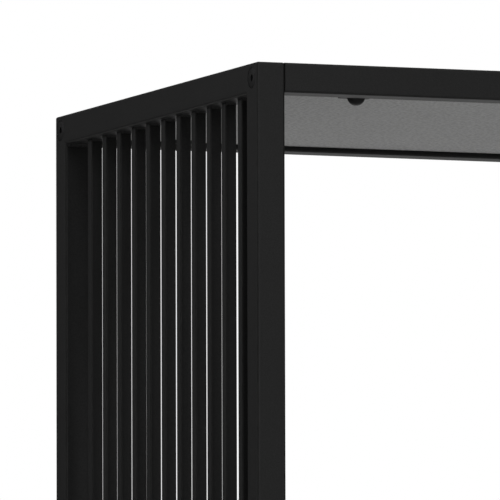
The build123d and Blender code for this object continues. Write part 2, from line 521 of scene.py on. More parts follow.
class Turned:
    """Closed lathe, hexagon and bead shapes, smoothed by angle."""

    def __init__(self, crease: float = 35.0) -> None:
        """Start empty.

        Args:
            crease: edges that turn by more degrees than this stay sharp.
        """
        self.work = bmesh.new()
        self.crease = math.radians(crease)

    def rings(self, loops: Sequence[Sequence[Vector]], close_ends: bool = True) -> None:
        """Skin a row of closed loops with as many points each.

        Args:
            loops: the loops in order, each a list of points.
            close_ends: whether the first and last loop are filled.
        """
        rows = [[self.work.verts.new(p) for p in loop] for loop in loops]
        bands = list(zip(rows, rows[1:]))
        if not close_ends:
            bands.append((rows[-1], rows[0]))
        for near, far in bands:
            for i in range(len(near)):
                j = (i + 1) % len(near)
                self.work.faces.new((near[i], near[j], far[j], far[i]))
        if close_ends:
            self.work.faces.new(rows[0])
            self.work.faces.new(rows[-1])

    def build(self, name: str) -> bpy.types.Object:
        """Make the object.

        Args:
            name: the piece's name.

        Returns:
            The new object, linked to the scene.
        """
        bmesh.ops.remove_doubles(self.work, verts=self.work.verts, dist=1e-7)
        bmesh.ops.recalc_face_normals(self.work, faces=self.work.faces)
        mesh = bpy.data.meshes.new(name)
        self.work.to_mesh(mesh)
        self.work.free()
        mesh.shade_smooth()
        mesh.set_sharp_from_angle(angle=self.crease)
        made = bpy.data.objects.new(name, mesh)
        bpy.context.scene.collection.objects.link(made)
        return made


def settle(
    piece: bpy.types.Object,
    paint: Paintbox,
    finish: Finish,
    body: str = RACK,
    replaces: Iterable[str] = (),
) -> bpy.types.Object:
    """Dress a piece, put it on its body and hide the CAD nodes that it stands for.

    Args:
        piece: the new object, in place.
        paint: where its material comes from.
        finish: what it is made of.
        body: the CAD body that it rides on.
        replaces: the CAD nodes that it stands for.

    Returns:
        The same object.
    """
    piece.data.materials.append(paint.get(finish))
    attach(piece, body)
    nodes = list(replaces)
    if nodes:
        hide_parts(*nodes)
    LOG.info("piece %s, %d faces, finish %s", piece.name, len(piece.data.polygons), finish.name)
    return piece


# ---- Square tube and bar ---------------------------------------------------------------


@dataclass
class Stock:
    """A length of square tube or bar with rounded long edges.

    The section lies across w; v points into the frame that the length belongs to, so that a
    mitred end is longest on its -v face.
    """

    start: Vector
    u: Vector
    v: Vector
    w: Vector
    length: float
    size: float
    edge: float
    wall: float = 0.0
    mitred: bool = False
    eased: float = 2.0 * MM
    deburr: float = 0.3 * MM
    arc_steps: int = 6
    head_hole: dict[int, float] = field(default_factory=dict)
    # weight of the lighter edge patches: part wear, part painted highlight
    edge_wear_and_highlight: float = 1.0

    EASE_STEPS = (0.0, 0.25, 0.5, 0.75, 1.0)
    HOLE_STEPS = 24
    PLAIN_STEP = 0.4 * MM
    END_ZONE = 1.6

    def section(self, inset: float) -> list[tuple[float, float, float, float, bool]]:
        """Points round the section.

        Args:
            inset: how far inside the outer surface.

        Returns:
            For each point u, v, the normal's u and v, and whether it starts a flat side.
        """
        half = self.size / 2 - inset
        radius = max(self.edge - inset, 0.3 * MM)
        points = []
        for quarter in range(4):
            middle = math.radians(90 * quarter + 45)
            centre_u = math.copysign(half - radius, math.cos(middle))
            centre_v = math.copysign(half - radius, math.sin(middle))
            for step in range(self.arc_steps + 1):
                angle = math.radians(90 * (quarter + step / self.arc_steps))
                normal_u, normal_v = math.cos(angle), math.sin(angle)
                points.append(
                    (
                        centre_u + radius * normal_u,
                        centre_v + radius * normal_v,
                        normal_u,
                        normal_v,
                        step == self.arc_steps,
                    )
                )
        return points

    def at(self, u: float, v: float, w: float) -> Vector:
        """A point of the length in the row frame."""
        return self.start + self.u * u + self.v * v + self.w * w

    def stations(self) -> list[tuple[bool, float, float]]:
        """Where the rings stand: from the near end or not, easing step, distance past the zone."""
        near = [(True, step, 0.0) for step in self.EASE_STEPS]
        zone = self.size * self.END_ZONE
        near.append((True, 1.0, zone))
        return near + [(False, step, gap) for _, step, gap in reversed(near)]

    def mitre_ring_point(
        self, point: tuple[float, float, float, float, bool], station: tuple[bool, float, float], ease: bool
    ) -> tuple[Vector, Vector]:
        """A point of a mitred length.

        Args:
            point: a point of the section.
            station: which ring.
            ease: whether the frame's outer corner is rounded here.

        Returns:
            Its place and its normal.
        """
        u, v, normal_u, normal_v, _ = point
        near, step, past = station
        level = v + self.size / 2
        turned = 0.0
        if past:
            along = past
        elif ease and level < self.eased - 1e-9:
            turned = math.radians(45 * (1 - step))
            reach = self.eased - level
            level = self.eased - reach * math.cos(turned)
            along = self.eased - reach * math.sin(turned)
        else:
            along = level + self.PLAIN_STEP * step
        outward = min(normal_v, 0.0) if ease else 0.0
        inward = normal_v - outward
        toward_end = -1.0 if near else 1.0
        place = self.at(u, level - self.size / 2, along if near else self.length - along)
        normal = (
            self.u * normal_u
            + self.v * (inward + outward * math.cos(turned))
            - self.w * (toward_end * outward * math.sin(turned))
        )
        return place, normal

    def draw(self, draft: Draft) -> None:
        """Draw the whole length.

        Args:
            draft: where its points and faces go.
        """
        if self.mitred:
            self.draw_mitred(draft)
        else:
            self.draw_square(draft)

    def draw_mitred(self, draft: Draft) -> None:
        """Draw a tube with mitred ends and with the bolt holes on its mitres.

        Args:
            draft: where its points and faces go.
        """
        skins = []
        for inset, sign in ((0.0, 1.0), (self.wall, -1.0)):
            section = self.section(inset)
            count = len(section)
            rows, normals = [], []
            for station in self.stations():
                row, row_normals = [], []
                for point in section:
                    place, normal = self.mitre_ring_point(point, station, inset == 0.0)
                    flat = max(abs(point[2]), abs(point[3])) > 0.999
                    row.append(draft.add(place, 0.0 if flat or inset else self.edge_wear_and_highlight))
                    row_normals.append(normal * sign)
                rows.append(row)
                normals.append(row_normals)
            last = len(rows) // 2 - 1
            notches: dict[tuple[int, bool], list[int]] = {}
            for j, point in enumerate(section):
                k = (j + 1) % count
                facing = int(round(point[2])) if point[4] and abs(point[2]) > 0.999 else 0
                radius = self.head_hole.get(facing, 0.0) if facing else 0.0
                spans = range(len(rows) - 1) if not radius else range(last, last + 1)
                for i in spans:
                    quad = (rows[i][j], rows[i][k], rows[i + 1][k], rows[i + 1][j])
                    bent = (normals[i][j], normals[i][k], normals[i + 1][k], normals[i + 1][j])
                    draft.face(quad, bent)
                if radius:
                    flat_normal = self.u * facing * sign
                    for near in (True, False):
                        ends = rows[:last + 1] if near else rows[:last:-1]
                        arc = self.notch(draft, point[0], radius, near)
                        low_first = section[j][1] < section[k][1]
                        outer, inner = (j, k) if low_first else (k, j)
                        loop = [ring[outer] for ring in ends] + [ring[inner] for ring in reversed(ends)]
                        draft.face(loop + arc, flat_normal)
                        notches[(facing, near)] = arc
            skins.append((section, rows, notches))
        self.close_mitres(draft, skins)

    def notch(self, draft: Draft, u: float, radius: float, near: bool) -> list[int]:
        """Half of a round hole on the mitre.

        Args:
            draft: where its points go.
            u: the face that it lies in.
            radius: of the hole.
            near: whether it is at the near end.

        Returns:
            The points from the inner side of the frame to the outer side.
        """
        arc = []
        middle = self.size / 2
        for step in range(self.HOLE_STEPS + 1):
            angle = math.radians(45 + 180 * step / self.HOLE_STEPS)
            level = middle + radius * math.cos(angle)
            along = middle + radius * math.sin(angle)
            place = self.at(u, level - middle, along if near else self.length - along)
            arc.append(draft.add(place))
        return arc

    def close_mitres(self, draft: Draft, skins: list[tuple[list, list, dict]]) -> None:
        """Close the wall's thickness at both ends and in the holes.

        Args:
            draft: where the faces go.
            skins: the outer and the inner skin, each with its section, rings and notches.
        """
        (section, outer, outer_notches), (_, inner, inner_notches) = skins
        count = len(section)
        for near, row in ((True, 0), (False, -1)):
            cut_normal = (self.v - self.w) if near else (self.v + self.w)
            for j, point in enumerate(section):
                k = (j + 1) % count
                facing = int(round(point[2])) if point[4] and abs(point[2]) > 0.999 else 0
                if (facing, near) not in outer_notches:
                    quad = (outer[row][j], outer[row][k], inner[row][k], inner[row][j])
                    draft.face(quad, cut_normal)
                    continue
                arc, inner_arc = outer_notches[(facing, near)], inner_notches[(facing, near)]
                low, high = (j, k) if section[j][1] < section[k][1] else (k, j)
                draft.face((outer[row][low], arc[-1], inner_arc[-1], inner[row][low]), cut_normal)
                draft.face((outer[row][high], arc[0], inner_arc[0], inner[row][high]), cut_normal)
                for step in range(self.HOLE_STEPS):
                    turn = [math.radians(45 + 180 * s / self.HOLE_STEPS) for s in (step, step + 1)]
                    flip = 1.0 if near else -1.0
                    ways = [-self.v * math.cos(t) - self.w * (math.sin(t) * flip) for t in turn]
                    draft.face(
                        (arc[step], arc[step + 1], inner_arc[step + 1], inner_arc[step]),
                        (ways[0], ways[1], ways[1], ways[0]),
                    )

    def draw_square(self, draft: Draft) -> None:
        """Draw a bar or tube with square, deburred ends.

        Args:
            draft: where its points and faces go.
        """
        skins = []
        insets = [(0.0, 1.0)] + ([(self.wall, -1.0)] if self.wall else [])
        for inset, sign in insets:
            section = self.section(inset)
            shrunk = self.section(inset + self.deburr) if not inset else section
            stops = [(shrunk, 0.0), (section, self.deburr)]
            stops += [(section, self.length - self.deburr), (shrunk, self.length)]
            rows = []
            for outline, along in stops:
                rows.append(
                    [
                        draft.add(
                            self.at(p[0], p[1], along),
                            0.0 if max(abs(p[2]), abs(p[3])) > 0.999 or inset else self.edge_wear_and_highlight,
                        )
                        for p in outline
                    ]
                )
            ways = [(self.u * p[2] + self.v * p[3]) * sign for p in section]
            for i in range(3):
                lean = (-self.w, Vector(), self.w)[i]
                for j in range(len(section)):
                    k = (j + 1) % len(section)
                    quad = (rows[i][j], rows[i][k], rows[i + 1][k], rows[i + 1][j])
                    near, far = (ways[j] + lean, ways[k] + lean) if not inset else (ways[j], ways[k])
                    draft.face(quad, (near, far, far, near))
            skins.append(rows)
        for row, way in ((0, -self.w), (-1, self.w)):
            if self.wall:
                outer, inner = skins[0][row], skins[1][row]
                for j in range(len(outer)):
                    k = (j + 1) % len(outer)
                    draft.face((outer[j], outer[k], inner[k], inner[j]), way)
            else:
                draft.face(skins[0][row], way)


def ring(centre: Vector, across: Vector, up: Vector, radii: Sequence[float]) -> list[Vector]:
    """A closed loop with its points evenly by angle.

    Args:
        centre: its middle.
        across: unit vector to its first point.
        up: unit vector a quarter turn on.
        radii: how far each point is from the middle.

    Returns:
        The points in order.
    """
    loop = []
    for i, radius in enumerate(radii):
        turn = math.tau * i / len(radii)
        loop.append(centre + across * (radius * math.cos(turn)) + up * (radius * math.sin(turn)))
    return loop


def circle(centre: Vector, across: Vector, up: Vector, radius: float, count: int) -> list[Vector]:
    """A ring of count points with one radius."""
    return ring(centre, across, up, [radius] * count)


def hexagon(centre: Vector, across: Vector, up: Vector, flats: float, count: int) -> list[Vector]:
    """A ring in the shape of a hexagon.

    Args:
        centre: its middle.
        across: unit vector to the middle of a flat.
        up: unit vector a quarter turn on.
        flats: width across flats.
        count: how many points, a multiple of 12 so that corners are points.

    Returns:
        The points in order.
    """
    sixth = math.pi / 3
    offs = [(math.tau * i / count + sixth / 2) % sixth - sixth / 2 for i in range(count)]
    return ring(centre, across, up, [flats / 2 / math.cos(off) for off in offs])


def lathe(foot: Vector, profile: Iterable[tuple[float, float]], count: int) -> list[list[Vector]]:
    """Level circles up an axis.

    Args:
        foot: where the axis starts.
        profile: radius and height above the foot of each circle.
        count: points of each circle.

    Returns:
        The circles in order.
    """
    return [circle(foot + UP * height, RIGHT, BACK, radius, count) for radius, height in profile]


@dataclass
class Bead:
    """A fillet weld with its ripples, along the inside corner of two faces."""

    middle: Vector
    along: Vector
    reach: float
    along_a: Vector
    along_b: Vector
    leg: float
    seed: int
    ripple: float = 2.2 * MM

    ACROSS = 6
    SINK = 0.25 * MM

    def draw(self, turned: Turned) -> None:
        """Draw the bead as a closed shape.

        Args:
            turned: where it goes.
        """
        dice = random.Random(self.seed)
        start, run = self.middle - self.along * self.reach, self.along * (2 * self.reach)
        steps = max(int(run.length / (self.ripple / 5)), 6)
        phase = dice.uniform(0, math.tau)
        sway = [dice.uniform(-0.12, 0.12) for _ in range(steps + 1)]
        loops = []
        for i in range(steps + 1):
            share = i / steps
            corner = start + run * share
            to_end = min(share, 1 - share) * run.length / self.leg
            taper = math.sqrt(max(1 - max(1 - to_end / 0.6, 0.0) ** 2, 0.04))
            ripple = 0.09 * math.sin(math.tau * share * run.length / self.ripple + phase)
            leg = self.leg * (1 + ripple + sway[i] * 0.35) * taper
            loop = [corner - (self.along_a + self.along_b) * self.SINK]
            for j in range(self.ACROSS + 1):
                turn = math.pi / 2 * j / self.ACROSS
                flat_a, flat_b = 1 - j / self.ACROSS, j / self.ACROSS
                crown = 1 + 0.06 * math.sin(2 * turn)
                sink_a = self.SINK if j == self.ACROSS else 0.0
                sink_b = self.SINK if j == 0 else 0.0
                loop.append(
                    corner
                    + self.along_a * (leg * flat_a * crown - sink_a)
                    + self.along_b * (leg * flat_b * crown - sink_b)
                )
            loops.append(loop)
        turned.rings(loops)


# ---- Sub-assemblies --------------------------------------------------------------------


@dataclass
class EndFrame:
    """A welded end frame: two posts, two members, the grille and the weld beads."""

    side: Side
    paint: Paintbox
    tube_edge: float = 2.0 * MM
    tube_wall: float = 1.5 * MM
    slat_edge: float = 1.2 * MM
    slat_gap: float = 12.0 * MM
    head_hole: float = 17.5 * MM
    shank_hole: float = 8.4 * MM
    corner_weld: float = 3.0 * MM
    slat_weld: float = 2.0 * MM

    def __post_init__(self) -> None:
        """Read the frame's places from the CAD."""
        self.word = self.side.name.lower()
        self.low, self.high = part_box(f"{self.word}_front_post")
        self.tube = self.high.x - self.low.x
        self.middle_x = (self.low.x + self.high.x) / 2
        member_low, member_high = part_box(f"{self.word}_top_member")
        self.front_y, self.rear_y = member_low.y, member_high.y
        self.bottom, self.top = self.low.z, self.high.z

    def length_of_tube(self, start: Vector, inward: Vector, along: Vector, length: float) -> Stock:
        """A mitred tube of this frame.

        Args:
            start: the middle of the section at the near end.
            inward: unit vector into the frame's opening.
            along: unit vector along the tube.
            length: over its long face.

        Returns:
            The tube, ready to draw.
        """
        outward = Vector((self.side.value, 0, 0))
        return Stock(
            start=start,
            u=outward,
            v=inward,
            w=along,
            length=length,
            size=self.tube,
            edge=self.tube_edge,
            wall=self.tube_wall,
            mitred=True,
            head_hole={1: self.head_hole / 2, -1: self.shank_hole / 2},
        )

    def build(self) -> None:
        """Build every piece of the frame."""
        half = self.tube / 2
        for end in End:
            face = self.front_y if end is End.FRONT else self.rear_y
            start = Vector((self.middle_x, face - end.value * half, self.bottom))
            name = f"{self.word}_{end.name.lower()}_post"
            self.piece(self.length_of_tube(start, -end.value * BACK, UP, self.top - self.bottom), name)
        for level, inward in ((self.top, -1), (self.bottom, 1)):
            word = "top" if inward < 0 else "bottom"
            start = Vector((self.middle_x, self.front_y, level + inward * half))
            member = self.length_of_tube(start, inward * UP, BACK, self.rear_y - self.front_y)
            self.piece(member, f"{self.word}_{word}_member")
        self.build_slats()
        self.build_welds()

    def piece(self, stock: Stock, node: str) -> None:
        """Draw one tube and put it in place of its CAD node."""
        draft = Draft()
        stock.draw(draft)
        settle(draft.build(f"{node}_tube"), self.paint, POWDER_COAT, replaces=[node])

    def slat_boxes(self) -> list[tuple[Vector, Vector]]:
        """The box of each bar, front first, read from the CAD node's loose parts."""
        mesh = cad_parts[f"{self.word}_slats"].data
        spans: list[list[float]] = []
        for y in sorted(vertex.co.y for vertex in mesh.vertices):
            if spans and y - spans[-1][1] < self.slat_gap:
                spans[-1][1] = y
            else:
                spans.append([y, y])
        low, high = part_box(f"{self.word}_slats")
        return [(Vector((low.x, a, low.z)), Vector((high.x, b, high.z))) for a, b in spans]

    def build_slats(self) -> None:
        """Build the grille's bars as one piece."""
        draft = Draft()
        for low, high in self.slat_boxes():
            size = high.x - low.x
            middle = (low + high) / 2
            Stock(
                start=Vector((middle.x, middle.y, low.z)),
                u=RIGHT,
                v=BACK,
                w=UP,
                length=high.z - low.z,
                size=size,
                edge=self.slat_edge,
                deburr=0.1 * MM,
                arc_steps=4,
                edge_wear_and_highlight=0.6,
            ).draw(draft)
        node = f"{self.word}_slats"
        settle(draft.build(f"{node}_bars"), self.paint, POWDER_COAT, replaces=[node])

    def build_welds(self) -> None:
        """Build the beads in the frame's inside corners and at the ends of the bars."""
        corners, tacks = Turned(60), Turned(60)
        reach = self.tube / 2 - 1.5 * MM
        for end in End:
            inside_y = (self.front_y if end is End.FRONT else self.rear_y) - end.value * self.tube
            for level, up in ((self.top - self.tube, -1), (self.bottom + self.tube, 1)):
                middle = Vector((self.middle_x, inside_y, level))
                seed = end.value + 3 * up + 20
                Bead(middle, RIGHT, reach, UP * up, -BACK * end.value, self.corner_weld, seed).draw(corners)
        for number, (low, high) in enumerate(self.slat_boxes()):
            middle_x = (low.x + high.x) / 2
            reach = (high.x - low.x) / 2 - 0.6 * MM
            for face_y, away in ((low.y, -1), (high.y, 1)):
                for level, up in ((self.top - self.tube, -1), (self.bottom + self.tube, 1)):
                    middle = Vector((middle_x, face_y, level))
                    seed = 100 + number * 4 + away + 2 * up
                    Bead(middle, RIGHT, reach, UP * up, BACK * away, self.slat_weld, seed).draw(tacks)
        settle(corners.build(f"{self.word}_corner_weld_beads"), self.paint, POWDER_COAT)
        settle(tacks.build(f"{self.word}_slat_weld_beads"), self.paint, POWDER_COAT)


@dataclass
class FrameBolts:
    """Flat-head connector bolts, flush in the outer face of an end frame."""

    side: Side
    paint: Paintbox
    head: float = 17.0 * MM
    head_height: float = 1.8 * MM
    shank: float = 8.0 * MM
    socket: float = 5.0 * MM
    socket_depth: float = 3.5 * MM
    socket_lip: float = 0.25 * MM
    chamfer: float = 0.45 * MM
    shank_chamfer: float = 1.0 * MM
    round_points: int = 72

    def build(self) -> None:
        """Build the four bolts of this side as one piece."""
        word = self.side.name.lower()
        node = f"{word}_frame_bolts"
        low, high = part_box(node)
        outward = Vector((self.side.value, 0, 0))
        face_x = high.x if self.side is Side.RIGHT else low.x
        inset = self.head / 2
        turned = Turned(30)
        for end in End:
            for level in (-1, 1):
                y = (high.y - inset) if end is End.REAR else (low.y + inset)
                z = (high.z - inset) if level > 0 else (low.z + inset)
                self.draw(turned, Vector((face_x, y, z)), outward, (high.x - low.x))
        settle(turned.build(f"{node}_set"), self.paint, BLACK_PLATE, replaces=[node])

    def draw(self, turned: Turned, face: Vector, outward: Vector, length: float) -> None:
        """Draw one bolt from the bottom of its socket round to the tip of its shank.

        Args:
            turned: where it goes.
            face: the middle of the head's face.
            outward: unit vector out of that face.
            length: the bolt's whole length.
        """
        count, lip, tip = self.round_points, self.socket_lip, self.shank_chamfer
        six = ((self.socket, -self.socket_depth), (self.socket, -lip), (self.socket + 2 * lip, 0.0))
        outline = (
            (self.head / 2 - self.chamfer, 0.0),
            (self.head / 2 - self.chamfer * 0.3, -self.chamfer * 0.3),
            (self.head / 2, -self.chamfer),
            (self.head / 2, -self.head_height),
            (self.shank / 2, -self.head_height),
            (self.shank / 2, -length + tip),
            (self.shank / 2 - tip, -length),
        )
        loops = [circle(face - outward * (self.socket_depth + 1.0 * MM), BACK, UP, 0.3 * MM, count)]
        loops += [hexagon(face + outward * depth, BACK, UP, flats, count) for flats, depth in six]
        loops += [circle(face + outward * depth, BACK, UP, radius, count) for radius, depth in outline]
        turned.rings(loops)


@dataclass
class Rails:
    """The four rails that join the end frames, square-cut and bolted on."""

    paint: Paintbox
    tube_edge: float = 2.0 * MM
    tube_wall: float = 1.5 * MM

    def build(self) -> None:
        """Build the four rails."""
        for level in ("top", "bottom"):
            for end in End:
                node = f"{end.name.lower()}_{level}_rail"
                low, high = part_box(node)
                middle = (low + high) / 2
                draft = Draft()
                Stock(
                    start=Vector((low.x, middle.y, middle.z)),
                    u=BACK,
                    v=UP,
                    w=RIGHT,
                    length=high.x - low.x,
                    size=high.z - low.z,
                    edge=self.tube_edge,
                    wall=self.tube_wall,
                    deburr=0.4 * MM,
                ).draw(draft)
                settle(draft.build(f"{node}_tube"), self.paint, POWDER_COAT, replaces=[node])


@dataclass
class Roof:
    """The roof cassette, the tabs that carry it and the dome bolts that hold it."""

    paint: Paintbox
    sheet: float = 1.5 * MM
    fold: float = 3.0 * MM
    corner: float = 3.5 * MM
    dome: float = 15.2 * MM
    dome_height: float = 6.5 * MM
    dome_socket: float = 4.0 * MM
    shank: float = 6.0 * MM
    tab_corner: float = 3.0 * MM
    tab_width: float = 27.0 * MM
    tab_soft: float = 0.4 * MM
    tab_weld: float = 0.9 * MM
    tab_points: int = 96
    bend_steps: int = 6
    dome_steps: int = 14
    round_points: int = 72

    def __post_init__(self) -> None:
        """Read the bolts' places from the CAD."""
        low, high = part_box("roof_bolts")
        inset = self.dome / 2
        self.bolt_x = (low.x + inset, 0.0, high.x - inset)
        self.bolt_y = {End.FRONT: low.y + inset, End.REAR: high.y - inset}
        self.bolt_low, self.bolt_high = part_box("front_roof_tabs")[0].z - self.dome_height, high.z

    def build(self) -> None:
        """Build the lid, tabs, bolts and welds, and dress the pan and the nuts."""
        self.build_lid()
        for end in End:
            self.build_tabs(end)
        self.build_bolts()
        self.paint.dress_node("roof_pan", ROOF_SHEET)
        self.paint.dress_node("roof_nuts", ZINC_PLATE)

    def outline(self, inset: float, z: float, low: Vector, high: Vector) -> list[Vector]:
        """A loop of the lid, a rectangle with rounded corners.

        Args:
            inset: how far inside the lid's outer face.
            z: its height.
            low: the lid's lowest corner.
            high: the lid's highest corner.

        Returns:
            The loop's points.
        """
        steps = self.bend_steps
        radius = max(self.corner - inset, 0.4 * MM)
        loop = []
        middles = (
            (high.x - inset - radius, high.y - inset - radius),
            (low.x + inset + radius, high.y - inset - radius),
            (low.x + inset + radius, low.y + inset + radius),
            (high.x - inset - radius, low.y + inset + radius),
        )
        for quarter, (x, y) in enumerate(middles):
            for step in range(steps + 1):
                turn = math.radians(90 * (quarter + step / steps))
                loop.append(Vector((x + radius * math.cos(turn), y + radius * math.sin(turn), z)))
        return loop

    def build_lid(self) -> None:
        """Build the folded top sheet, with the fold's radius outside and in."""
        low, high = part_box("roof_lid")
        turned = Turned(35)
        turns = [math.pi / 2 * step / self.bend_steps for step in range(self.bend_steps + 1)]
        bend, inner = high.z - self.fold, self.fold - self.sheet
        profile = [(self.fold * 3, high.z - self.sheet), (self.fold, high.z - self.sheet)]
        profile += [(self.fold - inner * math.sin(t), bend + inner * math.cos(t)) for t in turns[1:]]
        profile += [(self.sheet, low.z), (0.0, low.z)]
        profile += [
            (self.fold - self.fold * math.sin(t), bend + self.fold * math.cos(t)) for t in reversed(turns)
        ]
        profile.append((self.fold * 3, high.z))
        turned.rings([self.outline(inset, z, low, high) for inset, z in profile])
        settle(turned.build("roof_lid_sheet"), self.paint, POWDER_COAT, replaces=["roof_lid"])

    def build_tabs(self, end: End) -> None:
        """Build the tabs on one rail and the welds that hold them.

        Args:
            end: front or rear rail.
        """
        word = end.name.lower()
        node = f"{word}_roof_tabs"
        low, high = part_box(node)
        tabs, welds = Turned(35), Turned(60)
        rail_y = low.y if end is End.FRONT else high.y
        free_y = high.y if end is End.FRONT else low.y
        for number, x in enumerate(self.bolt_x):
            self.draw_tab(tabs, x, rail_y, free_y, low.z, high.z)
            reach = self.tab_width / 2 - 1.0 * MM
            middle = Vector((x, rail_y, high.z))
            seed = 300 + number + 5 * end.value
            Bead(middle, RIGHT, reach, -BACK * end.value, UP, self.tab_weld, seed).draw(welds)
        settle(tabs.build(f"{node}_plates"), self.paint, POWDER_COAT, replaces=[node])
        settle(welds.build(f"{node}_weld_beads"), self.paint, POWDER_COAT)

    def draw_tab(
        self, turned: Turned, x: float, rail_y: float, free_y: float, bottom: float, top: float
    ) -> None:
        """Draw one tab, square at the rail and rounded at its free corners, with its bolt hole.

        Args:
            turned: where it goes.
            x: its middle.
            rail_y: its edge on the rail.
            free_y: its free edge.
            bottom: its lower face.
            top: its upper face.
        """
        reach = abs(free_y - rail_y)
        way = 1 if free_y > rail_y else -1
        half = self.tab_width / 2
        hole = self.shank / 2 + 0.3 * MM
        hole_at = Vector((x, rail_y + way * reach / 2, 0))

        turns = [math.tau * i / self.tab_points for i in range(self.tab_points)]
        rays = [Vector((math.cos(turn), way * math.sin(turn))) for turn in turns]

        def edge(inset: float, z: float) -> list[Vector]:
            """The tab's outline as points seen from its hole, evenly by angle."""
            radii = [self.ray_length(ray, half - inset, reach / 2 - inset) for ray in rays]
            return ring(hole_at + UP * z, RIGHT, BACK, radii)

        def bore(z: float) -> list[Vector]:
            """The hole's outline at a height."""
            return circle(hole_at + UP * z, RIGHT, BACK, hole, self.tab_points)

        soft = self.tab_soft
        loops = [bore(bottom), edge(soft, bottom), edge(0, bottom + soft), edge(0, top - soft)]
        loops += [edge(soft, top), bore(top)]
        turned.rings(loops, close_ends=False)

    def ray_length(self, ray: Vector, half_x: float, half_y: float) -> float:
        """Distance from the middle of a tab to its outline.

        Args:
            ray: unit direction, with y towards the free edge.
            half_x: half of its width.
            half_y: half of its reach.

        Returns:
            The distance along the ray.
        """
        flat = min(half_x / max(abs(ray.x), 1e-9), half_y / max(abs(ray.y), 1e-9))
        corner = Vector((math.copysign(half_x - self.tab_corner, ray.x), half_y - self.tab_corner))
        tip = ray * flat
        if ray.y < 0 or abs(tip.x) < abs(corner.x) or tip.y < corner.y:
            return flat
        along = ray.dot(corner)
        return along + math.sqrt(max(self.tab_corner**2 - (corner.length_squared - along**2), 0.0))

    def build_bolts(self) -> None:
        """Build the dome-head bolts, heads down."""
        turned = Turned(30)
        for y in self.bolt_y.values():
            for x in self.bolt_x:
                self.draw_bolt(turned, Vector((x, y, self.bolt_low)))
        settle(turned.build("roof_dome_bolts"), self.paint, BLACK_PLATE, replaces=["roof_bolts"])

    def draw_bolt(self, turned: Turned, crown: Vector) -> None:
        """Draw one dome-head bolt.

        Args:
            turned: where it goes.
            crown: the lowest point of its dome.
        """
        half = self.dome / 2
        sphere = (half**2 + self.dome_height**2) / (2 * self.dome_height)
        mouth = self.dome_socket + 0.3 * MM
        rise = sphere - math.sqrt(sphere**2 - (mouth * 0.55) ** 2)
        six = ((self.dome_socket, 3.0 * MM), (self.dome_socket, rise + 0.2 * MM), (mouth, rise))
        first, last = math.asin(mouth * 0.62 / sphere), math.asin(half / sphere)
        turns = [first + (last - first) * step / self.dome_steps for step in range(self.dome_steps + 1)]
        shoulder, shank, tip = self.bolt_high - self.bolt_low, self.shank / 2, 0.7 * MM
        profile = [(sphere * math.sin(t), sphere - sphere * math.cos(t)) for t in turns]
        profile += [(shank, self.dome_height), (shank, shoulder - tip), (shank - tip, shoulder)]
        loops = lathe(crown, [(0.3 * MM, 3.6 * MM)], self.round_points)
        loops += [hexagon(crown + UP * z, RIGHT, BACK, flats, self.round_points) for flats, z in six]
        turned.rings(loops + lathe(crown, profile, self.round_points))


@dataclass
class LogFloor:
    """Square tubes from front to rear that the logs lie on, with their welds."""

    paint: Paintbox
    edge: float = 2.0 * MM
    wall: float = 1.5 * MM
    count: int = 9
    weld: float = 2.2 * MM

    def build(self) -> None:
        """Build the bearers and their weld beads."""
        low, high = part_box("floor_bearers")
        size = high.z - low.z
        draft, welds = Draft(), Turned(60)
        pitch = (high.x - low.x - size) / (self.count - 1)
        middle_z = (low.z + high.z) / 2
        for number in range(self.count):
            x = low.x + size / 2 + number * pitch
            Stock(
                start=Vector((x, low.y, middle_z)),
                u=RIGHT,
                v=UP,
                w=BACK,
                length=high.y - low.y,
                size=size,
                edge=self.edge,
                wall=self.wall,
                deburr=0.2 * MM,
            ).draw(draft)
            for end_y, inward in ((low.y, 1), (high.y, -1)):
                for away in (-1, 1):
                    middle = Vector((x + away * size / 2, end_y, middle_z))
                    reach = size / 2 - self.edge
                    seed = 500 + number * 4 + inward + 2 * away
                    Bead(middle, UP, reach, RIGHT * away, BACK * inward, self.weld, seed).draw(welds)
        settle(draft.build("floor_bearer_tubes"), self.paint, POWDER_COAT, replaces=["floor_bearers"])
        settle(welds.build("floor_bearer_weld_beads"), self.paint, POWDER_COAT)


